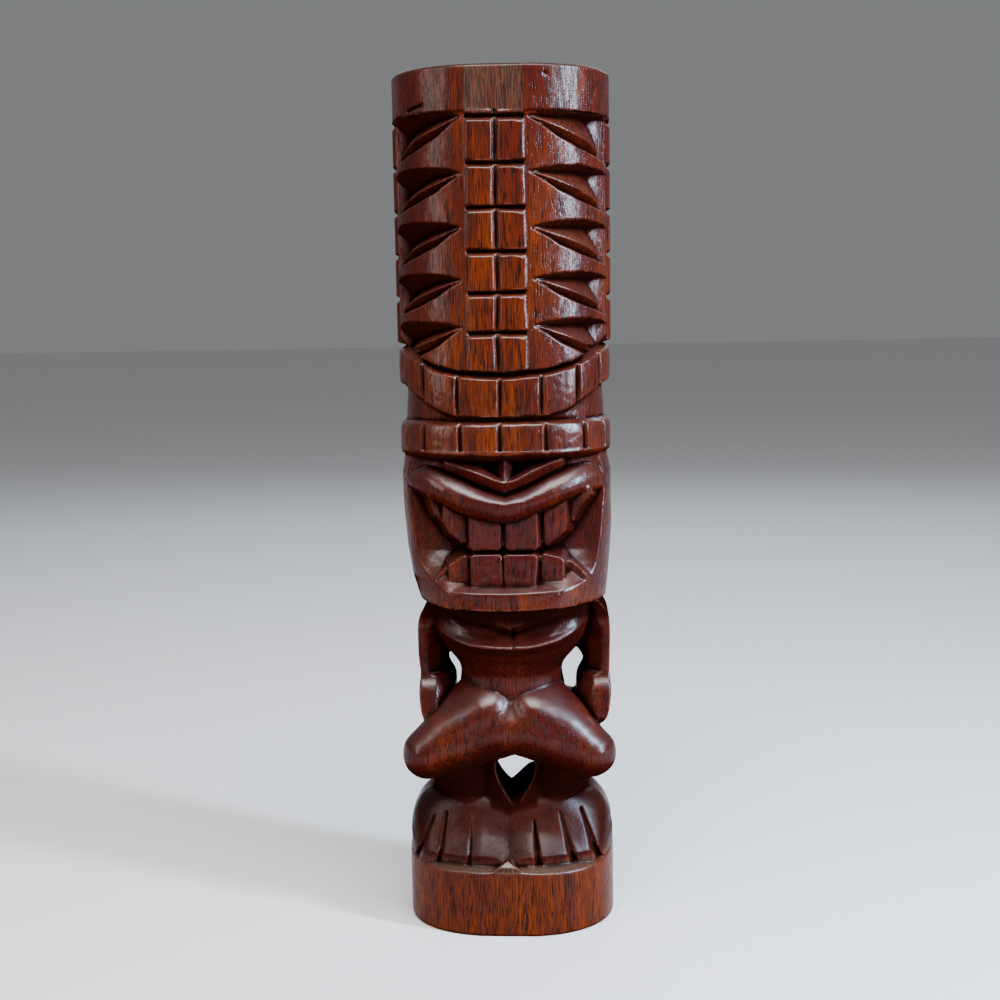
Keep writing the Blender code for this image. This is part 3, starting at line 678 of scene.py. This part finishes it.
def surface_net(volume):
    """Vertices (in cells) and quads on the zero level of a block of the grid."""
    inside = volume < 0
    count = np.zeros([n - 1 for n in volume.shape], np.uint8)
    for i, j, k in CORNERS:
        count += inside[i:i - 1 or None, j:j - 1 or None, k:k - 1 or None]
    cell = np.argwhere((count > 0) & (count < 8))
    number = np.full(count.shape, -1, np.int64)
    number[tuple(cell.T)] = np.arange(len(cell))
    total = np.zeros((len(cell), 3), np.float64)
    crossings = np.zeros(len(cell))
    value = {c: volume[tuple((cell + c).T)] for c in CORNERS}
    for a in CORNERS:
        for axis in range(3):
            if a[axis]:
                continue
            b = tuple(1 if n == axis else c for n, c in enumerate(a))
            va, vb = value[a], value[b]
            crossed = (va < 0) != (vb < 0)
            share = np.where(crossed, va / np.where(crossed, va - vb, 1.0), 0.0)
            point = np.array(a, float)[None, :] + np.eye(3)[axis][None, :] * share[:, None]
            total += np.where(crossed[:, None], point, 0.0)
            crossings += crossed
    points = cell + total / crossings[:, None]
    quads = []
    for axis in range(3):
        u, v = [n for n in range(3) if n != axis]
        ahead = np.diff(inside.astype(np.int8), axis=axis)
        edge = np.argwhere(ahead != 0)
        edge = edge[(edge[:, u] > 0) & (edge[:, v] > 0)]
        edge = edge[(edge[:, u] < count.shape[u]) & (edge[:, v] < count.shape[v])]
        du, dv = np.eye(3, dtype=int)[u], np.eye(3, dtype=int)[v]
        ring = [edge - du - dv, edge - dv, edge, edge - du]
        quad = np.stack([number[tuple(c.T)] for c in ring], axis=1)
        entering = ahead[tuple(edge.T)] > 0
        turned = entering if axis != 1 else ~entering
        quads.append(np.where(turned[:, None], quad[:, ::-1], quad))
    return points, np.concatenate(quads)


VOLUME = carving()
SOLID = np.clip(0.5 - VOLUME / STEP, 0.0, 1.0)
FINE = blur(SOLID, 2 if STEP < 1 else 1)
BROAD = blur(SOLID, 7 if STEP < 1 else 3)
del SOLID


# ---------------------------------------------------------------- dividing it along its creases

def seam_feet(x, y):
    return 33.8 + np.clip(8.0 - np.abs(x), 0, None) * (y < -27)


def seam_knee(x):
    return curve(np.abs(x - 1.3), (0, 82.5), (8, 81.5), (28, 77.0), (41, 73.5), (55, 72.0))


def seam_hip(x, y):
    return 114.3 + 0.22 * np.abs(x - 1.3) + 4.0 * fade(y, -20.0, 0.0)


def beside_arm(x, z):
    """Negative on the arms' side of the body."""
    left = x + curve(z, (96, 34), (112, 29), (118, 27.5), (124, 28.5), (130, 30), (135, 33.5),
                     (141, 36.5), (158, 39.5))
    right = curve(z, (96, 40), (112, 36), (118, 33), (124, 31), (131, 34.5), (136, 38),
                  (141, 40.5), (158, 44)) - x
    hand = curve(np.abs(x - 1.3), (26, 121), (34, 111), (50, 90)) - z
    return np.maximum(np.where(x < 0, left, right), hand)


def from_middle(arc):
    return np.where(np.abs(arc) > QUARTER, 2 * QUARTER - np.abs(arc), np.abs(arc))


def strip_regions(arc, depth):
    edge = np.where(arc < 0, -STRIP[0], STRIP[1]) + 0.2
    middle = np.maximum(from_middle(arc) - edge, -6.0 - depth)
    flank = np.maximum(QUARTER - from_middle(arc) - SIDE_HALF, -6.0 - depth)
    return middle, flank


def regions():
    """Each piece: its name, the CAD nodes it stands for and its region (negative inside)."""
    x, y = GX[:, None, None], GY[None, :, None]
    z = GZ[None, None, :]
    arc, depth = ARC[:, :, None], PLAN[:, :, None]
    xz, zz = GX[:, None], GZ[None, :]

    def front(low, high, back, wide=60.0):
        flat = np.maximum(np.maximum(low - zz, zz - high), np.abs(xz) - wide)[:, None, :]
        return np.maximum(flat, y - back)

    jaw = front(curve(xz, *JAW_LOW) - 1.0, curve(xz, *JAW_EDGE) + 5.0, -24.0, 46.0)
    low_teeth = front(curve(xz, *JAW_EDGE) + 5.0, 184.6, -30.0, 39.0)
    up_teeth = front(184.6, curve(xz, *LIP_LOW), -30.0, 39.0)
    lip = front(curve(xz, *LIP_LOW), curve(xz, *LIP_TOP) + 0.3, -10.0)
    nose = front(curve(xz, *NOSE_LOW) - 0.5, curve(xz, *NOSE_TOP) + 0.4, -33.5, 25.0)
    bridge = front(216.0, BAND_BASE, -36.0, 3.6)
    nose = np.minimum(nose, bridge)
    nose = np.maximum(nose, -lip)
    face_parts = np.minimum.reduce([jaw, low_teeth, up_teeth, lip, nose])
    head = np.maximum(np.maximum(CHIN - z, z - BAND_BASE), -face_parts)

    middle, flank = strip_regions(arc, depth)
    top = curve(from_middle(arc), *BAND_TOP)
    low = curve(from_middle(arc), *BAND_LOW)
    above = np.maximum(top - z, z - RIM_BASE)
    plates = np.maximum(np.maximum(above, -middle), -flank)
    sole, knee, hip = seam_feet(x, y), seam_knee(x), seam_hip(x, y)
    arm = beside_arm(x, z)
    legs = np.maximum(62.0 - z, z - knee)
    thigh = np.maximum(np.maximum(knee - z, z - hip), -np.maximum(arm, 92 - z))
    torso = np.maximum(-arm, z - CHIN)
    arm = np.maximum(np.maximum(arm, z - CHIN), np.maximum(90.0 - z, -thigh))
    return [
        ("base_plinth", ["base_plinth"], z - sole),
        ("left_foot", ["left_foot"], np.maximum(np.maximum(sole - z, z - 62.0), x + 0.9)),
        ("right_foot", ["right_foot"], np.maximum(np.maximum(sole - z, z - 62.0), -0.9 - x)),
        ("left_calf", ["left_calf"], np.maximum(legs, x - 1.2)),
        ("right_calf", ["right_calf"], np.maximum(legs, 1.2 - x)),
        ("left_thigh", ["left_thigh"], np.maximum(thigh, x - 1.2)),
        ("right_thigh", ["right_thigh"], np.maximum(thigh, 1.2 - x)),
        ("trunk", ["abdomen", "chest"], np.maximum(hip - z, torso)),
        ("left_forearm", ["left_forearm"], np.maximum(np.maximum(arm, z - ELBOW), x)),
        ("right_forearm", ["right_forearm"], np.maximum(np.maximum(arm, z - ELBOW), -x)),
        ("left_upper_arm", ["left_upper_arm"], np.maximum(np.maximum(arm, ELBOW - z), x)),
        ("right_upper_arm", ["right_upper_arm"], np.maximum(np.maximum(arm, ELBOW - z), -x)),
        ("head", ["head", "left_cheek", "right_cheek", "brow"], head),
        ("lower_lip", ["lower_lip"], np.maximum(jaw, CHIN - z)),
        ("lower_teeth", ["lower_teeth"], low_teeth),
        ("upper_teeth", ["upper_teeth"], up_teeth),
        ("upper_lip", ["upper_lip"], lip),
        ("nose", ["nose"], nose),
        ("lower_headband", ["lower_headband"], np.maximum(BAND_BASE - z, z - low)),
        ("upper_headband", ["upper_headband"], np.maximum(low - z, z - top)),
        ("headdress", ["headdress"], plates),
        ("front_tiles", ["front_tiles"], np.maximum(np.maximum(above, middle), y)),
        ("back_tiles", ["back_tiles"], np.maximum(np.maximum(above, middle), -y)),
        ("left_tiles", ["left_tiles"], np.maximum(np.maximum(above, flank), x)),
        ("right_tiles", ["right_tiles"], np.maximum(np.maximum(above, flank), -x)),
        ("crown_rim", ["crown_rim"], RIM_BASE - z),
    ]


def tints(points):
    """Where the wood is more golden, where its finish is scuffed grey or greyed as a painted sheen, and where
    it is darkened: painted shade in the recesses under and between parts, and darker feet and crown top.
    """
    x, y, z = points.T
    wide = np.abs(x + 1.0)
    by_height = np.interp(z, (0, 30, 34, 60, 150, 158, 166, 226, 230, 345, 385, 406),
                          (0.95, 0.9, 0.2, 0.1, 0.1, 0.7, 0.15, 0.15, 0.95, 0.75, 0.5, 0.3))
    gold = by_height * np.where(z > 229, np.interp(wide, (0, 20, 42), (1.0, 0.85, 0.45)), 1.0)
    front = y < -30
    scuff_and_painted_sheen = np.where(front & (z > 385), fade(14.0 - np.abs(x + 2.0), 0.0, 1.5) * 0.85, 0.0)
    scuff_and_painted_sheen = np.maximum(scuff_and_painted_sheen, np.where(z > 385, fade(9.0 - np.abs(x - 31), 0.0, 6.0) * 0.6 * front, 0.0))
    scuff_and_painted_sheen = np.maximum(scuff_and_painted_sheen, fade(z, 404.0, 405.6) * 0.7)
    # Painted sheen: the front of the plinth's ledge is greyed paler, as if lit from above.
    scuff_and_painted_sheen = np.maximum(scuff_and_painted_sheen, 0.8 * front * fade(z, 30.0, 31.4) * fade(-z, -35.5, -33.5))
    # Painted shade under the chin, under the thighs, in the armpits and between the legs; the feet and the
    # top of the crown are made darker as well.
    under_chin = fade(z, 145.0, 152.0) * fade(-z, -157.6, -156.8) * fade(y, -40.0, -35.0)
    under_thighs = fade(z, 58.0, 64.0) * fade(-z, -82.0, -76.0) * fade(y, -34.0, -26.0)
    armpits = fade(z, 108.0, 114.0) * fade(-z, -138.0, -132.0) * fade(y, -15.0, -10.0)
    armpits = armpits * fade(-y, -24.0, -18.0) * fade(-np.abs(x - 2.6), -37.5, -35.0)
    between = fade(z, 40.0, 46.0) * fade(-z, -84.0, -78.0)
    between = between * fade(-np.abs(x - 1.8), -15.0, -10.0) * fade(y, -31.0, -25.0)
    feet = 0.62 * fade(z, 34.5, 37.0) * fade(-z, -70.0, -62.0)
    top = 0.7 * fade(z, 404.6, 405.6)
    painted_shade_and_darkening = np.maximum.reduce([under_chin, under_thighs, armpits, between, feet, top])
    return {"gold": gold, "scuff_and_painted_sheen": scuff_and_painted_sheen, "painted_shade_and_darkening": painted_shade_and_darkening}


def make_piece(name, region, material):
    """A closed mesh of the carving within one region, with how hollow the wood is at each point."""
    region = np.broadcast_to(region, VOLUME.shape)
    part = np.maximum(VOLUME, region)
    filled = part < 0
    block = []
    for axis in range(3):
        used = np.flatnonzero(filled.any(axis=tuple(n for n in range(3) if n != axis)))
        block.append(slice(max(used[0] - 2, 0), used[-1] + 3))
    block = tuple(block)
    corner = np.array([b.start for b in block])
    points, quads = surface_net(part[block])
    cells = square_up(points, VOLUME[block], region[block]) + corner
    points = cells * STEP + np.array([axis[0] for axis in GRID])
    mesh = bpy.data.meshes.new(name)
    mesh.vertices.add(len(points))
    mesh.vertices.foreach_set("co", (points * MM).astype(np.float32).ravel())
    mesh.loops.add(len(quads) * 4)
    mesh.loops.foreach_set("vertex_index", quads.astype(np.int32).ravel())
    mesh.polygons.add(len(quads))
    mesh.polygons.foreach_set("loop_start", np.arange(0, len(quads) * 4, 4, dtype=np.int32))
    mesh.update(calc_edges=True)
    mesh.validate()
    for label, field in (("hollow_fine", FINE), ("hollow_broad", BROAD)):
        attribute = mesh.attributes.new(label, "FLOAT", "POINT")
        attribute.data.foreach_set("value", sample(field, cells).astype(np.float32))
    for label, values in tints(points).items():
        attribute = mesh.attributes.new(label, "FLOAT", "POINT")
        attribute.data.foreach_set("value", values.astype(np.float32))
    mesh.shade_smooth()
    mesh.set_sharp_from_angle(angle=np.radians(50))
    mesh.materials.append(material)
    obj = bpy.data.objects.new(name, mesh)
    bpy.context.scene.collection.objects.link(obj)
    return obj


# ---------------------------------------------------------------- the wood

class Nodes:
    """Short way to build a node tree."""

    def __init__(self, material):
        material.use_nodes = True
        self.tree = material.node_tree
        self.shader = self.tree.nodes["Principled BSDF"]

    def add(self, kind, inputs=None, **settings):
        node = self.tree.nodes.new(kind)
        for key, value in settings.items():
            setattr(node, key, value)
        for key, value in (inputs or {}).items():
            self.put(node.inputs[key], value)
        return node

    def put(self, socket, value):
        if isinstance(value, bpy.types.NodeSocket):
            self.tree.links.new(value, socket)
        else:
            socket.default_value = value

    def math(self, operation, a, b=0.0, clamp=False):
        node = self.add("ShaderNodeMath", {0: a, 1: b}, operation=operation, use_clamp=clamp)
        return node.outputs[0]

    def noise(self, vector, scale, detail=2.0, roughness=0.5, distortion=0.0):
        node = self.add("ShaderNodeTexNoise", {
            "Vector": vector, "Scale": scale, "Detail": detail, "Roughness": roughness,
            "Distortion": distortion})
        return node.outputs["Fac"]

    def stretch(self, vector, x, y, z):
        return self.add("ShaderNodeVectorMath", {0: vector, 1: (x, y, z)}, operation="MULTIPLY").outputs[0]

    def span(self, value, low, high, to_low=0.0, to_high=1.0):
        node = self.add("ShaderNodeMapRange", {
            "Value": value, "From Min": low, "From Max": high, "To Min": to_low, "To Max": to_high})
        return node.outputs["Result"]

    def mix(self, factor, a, b, blend="MIX"):
        node = self.add("ShaderNodeMix", data_type="RGBA", blend_type=blend)
        self.put(node.inputs["Factor"], factor)
        self.put(node.inputs["A"], a)
        self.put(node.inputs["B"], b)
        return node.outputs["Result"]


def stained_wood():
    material = bpy.data.materials.new("stained_wood")
    n = Nodes(material)
    place = n.add("ShaderNodeTexCoord").outputs["Object"]
    normal = n.add("ShaderNodeNewGeometry").outputs["Normal"]
    facing = n.add("ShaderNodeSeparateXYZ", {0: normal}).outputs["Z"]

    def worked(name):
        return n.add("ShaderNodeAttribute", attribute_name=name).outputs["Fac"]

    broad = n.noise(n.stretch(place, 1, 1, 0.30), 45.0, 3.0, 0.55)
    figure = n.noise(n.stretch(place, 1, 1, 0.05), 300.0, 3.0, 0.6, 0.4)
    fibre = n.noise(n.stretch(place, 1, 1, 0.055), 1900.0, 3.0, 0.65)
    vessel = n.noise(n.stretch(place, 1, 1, 0.075), 1500.0, 1.0, 0.5)
    fine, wide = worked("hollow_fine"), worked("hollow_broad")
    gold, scuff_and_painted_sheen, painted_shade_and_darkening = worked("gold"), worked("scuff_and_painted_sheen"), worked("painted_shade_and_darkening")

    # Golden heart and deep red stain, drawn out along the grain.
    golden = n.math("ADD", gold, n.span(broad, 0.3, 0.7, -0.55, 0.45), clamp=True)
    colour = n.mix(golden, (0.058, 0.0050, 0.0036, 1), (0.140, 0.0210, 0.0015, 1))
    colour = n.mix(n.span(figure, 0.40, 0.66, 0.0, 0.65), colour, (0.034, 0.0040, 0.0024, 1))
    colour = n.mix(n.span(fibre, 0.40, 0.62, 0.0, 0.78), colour, (0.015, 0.0022, 0.0014, 1))
    pore = n.span(vessel, 0.57, 0.64, 0.0, 0.85)
    colour = n.mix(pore, colour, (0.006, 0.0015, 0.0012, 1))
    # The scuffed finish greys the wood; on the plinth's ledge the same grey is a painted sheen.
    greyed = n.mix(n.span(fibre, 0.38, 0.60), (0.075, 0.040, 0.022, 1), (0.012, 0.006, 0.0035, 1))
    colour = n.mix(n.math("MULTIPLY", scuff_and_painted_sheen, n.span(figure, 0.35, 0.60, 0.25, 1.0)), colour, greyed)

    # Painted shade darkens the cuts and hollows, the faces turned downwards and the places the tints darken;
    # the edges are rubbed lighter.
    colour = n.mix(n.span(wide, 0.52, 0.68, 0.0, 0.80), colour, (0.006, 0.0014, 0.0012, 1))
    colour = n.mix(n.span(fine, 0.53, 0.64, 0.0, 0.92), colour, (0.004, 0.0012, 0.0010, 1))
    shade = n.math("MAXIMUM", n.span(facing, -0.15, -0.60, 0.0, 0.75), n.math("MULTIPLY", painted_shade_and_darkening, 0.88))
    colour = n.mix(shade, colour, (0.007, 0.0014, 0.0010, 1))
    worn = n.math("MULTIPLY", n.span(fine, 0.42, 0.30), n.span(figure, 0.42, 0.62, 0.45, 0.0))
    colour = n.mix(worn, colour, (0.17, 0.050, 0.034, 1))
    n.put(n.shader.inputs["Base Color"], colour)

    rough = n.math("ADD", n.span(fibre, 0.35, 0.65, 0.22, 0.42), n.span(fine, 0.5, 0.62, 0.0, 0.35))
    n.put(n.shader.inputs["Roughness"], n.math("ADD", rough, n.math("MULTIPLY", scuff_and_painted_sheen, 0.2)))
    polish = n.math("MULTIPLY", n.span(wide, 0.52, 0.66, 1.0, 0.0), n.span(facing, -0.25, 0.45, 0.0, 1.0))
    polish = n.math("MULTIPLY", polish, n.span(painted_shade_and_darkening, 0.0, 0.9, 1.0, 0.0))
    height_up = n.add("ShaderNodeSeparateXYZ", {0: place}).outputs["Z"]
    handled = n.math("MAXIMUM", n.span(height_up, 0.0, 0.24, 0.30, 1.0), n.span(facing, 0.2, 0.6))
    polish = n.math("MULTIPLY", polish, handled)
    n.put(n.shader.inputs["Specular IOR Level"], n.math("MULTIPLY", polish, 0.24))
    n.put(n.shader.inputs["Coat Weight"], n.math("MULTIPLY", polish, n.span(fine, 0.32, 0.44, 0.25, 0.75)))
    n.put(n.shader.inputs["Coat Roughness"], n.span(facing, 0.1, 0.6, 0.16, 0.30))

    # Open grain and the small flats left by the gouge.
    scallop = n.noise(place, 230.0, 1.0, 0.4)
    scallop = n.math("MULTIPLY", scallop, n.span(facing, 0.1, 0.6, 1.0, 0.35))
    height = n.math("ADD", scallop, n.math("MULTIPLY", fibre, n.span(facing, 0.1, 0.6, -0.16, -0.08)))
    height = n.math("SUBTRACT", height, n.math("MULTIPLY", pore, n.span(facing, 0.2, 0.6, 0.10, 0.02)))
    bump = n.add("ShaderNodeBump", {"Strength": 0.6, "Distance": 0.0006, "Height": height})
    n.put(n.shader.inputs["Normal"], bump.outputs["Normal"])
    n.put(n.shader.inputs["Coat Normal"], bump.outputs["Normal"])
    return material


WOOD = stained_wood()
for piece_name, stands_for, piece_region in regions():
    piece = make_piece(piece_name, piece_region, WOOD)
    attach(piece, "root")
    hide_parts(*stands_for)


# ---------------------------------------------------------------- floor, lights and camera

def plain(name, colour, roughness):
    material = bpy.data.materials.new(name)
    material.use_nodes = True
    shader = material.node_tree.nodes["Principled BSDF"]
    shader.inputs["Base Color"].default_value = colour
    shader.inputs["Roughness"].default_value = roughness
    return material


def area_light(name, place, target, size, power, colour):
    light = bpy.data.lights.new(name, "AREA")
    light.shape = "RECTANGLE"
    light.size, light.size_y = size
    light.energy = power
    light.color = colour
    obj = bpy.data.objects.new(name, light)
    obj.location = place
    obj.rotation_euler = (Vector(target) - Vector(place)).to_track_quat("-Z", "Y").to_euler()
    bpy.context.scene.collection.objects.link(obj)


bpy.ops.mesh.primitive_plane_add(size=40.0)
floor = bpy.context.object
floor.name = "floor"
floor.data.materials.append(plain("pale_floor", (0.86, 0.86, 0.86, 1), 0.6))

world = bpy.data.worlds.new("studio")
world.use_nodes = True
world.node_tree.nodes["Background"].inputs["Color"].default_value = (0.95, 0.97, 1.0, 1)
world.node_tree.nodes["Background"].inputs["Strength"].default_value = 0.22
bpy.context.scene.world = world
area_light("overhead", (0.10, -0.55, 1.25), (0, 0, 0.22), (1.0, 0.5), 26.0, (1.0, 0.97, 0.95))
area_light("window", (0.88, -0.47, 0.55), (0, 0, 0.30), (0.10, 0.7), 35.0, (0.60, 0.77, 1.0))
area_light("behind", (0.15, 1.50, 1.20), (0, 0, 0.15), (1.6, 0.5), 10.0, (0.80, 0.88, 1.0))
area_light("fill", (-0.9, -0.6, 0.55), (0, 0, 0.22), (0.3, 0.8), 5.0, (1.0, 0.93, 0.88))

# The camera stands a little right of the figure's centre line, near headdress height, looking slightly down.
azimuth, tilt, roll = np.radians([2.0, 6.55, -0.943])
eye = (0.02268, -0.74655, 0.290245)
forward = np.array([-np.sin(azimuth) * np.cos(tilt), np.cos(azimuth) * np.cos(tilt), -np.sin(tilt)])
right = np.array([np.cos(azimuth), np.sin(azimuth), 0.0])
up = np.cross(right, forward)
right, up = right * np.cos(roll) + up * np.sin(roll), -right * np.sin(roll) + up * np.cos(roll)
camera = bpy.data.objects.new("camera", bpy.data.cameras.new("camera"))
camera.data.sensor_width = 36.0
camera.data.lens = 55.23
camera.matrix_world = Matrix([
    [right[0], up[0], -forward[0], eye[0]],
    [right[1], up[1], -forward[1], eye[1]],
    [right[2], up[2], -forward[2], eye[2]],
    [0, 0, 0, 1],
])
bpy.context.scene.collection.objects.link(camera)
bpy.context.scene.camera = camera
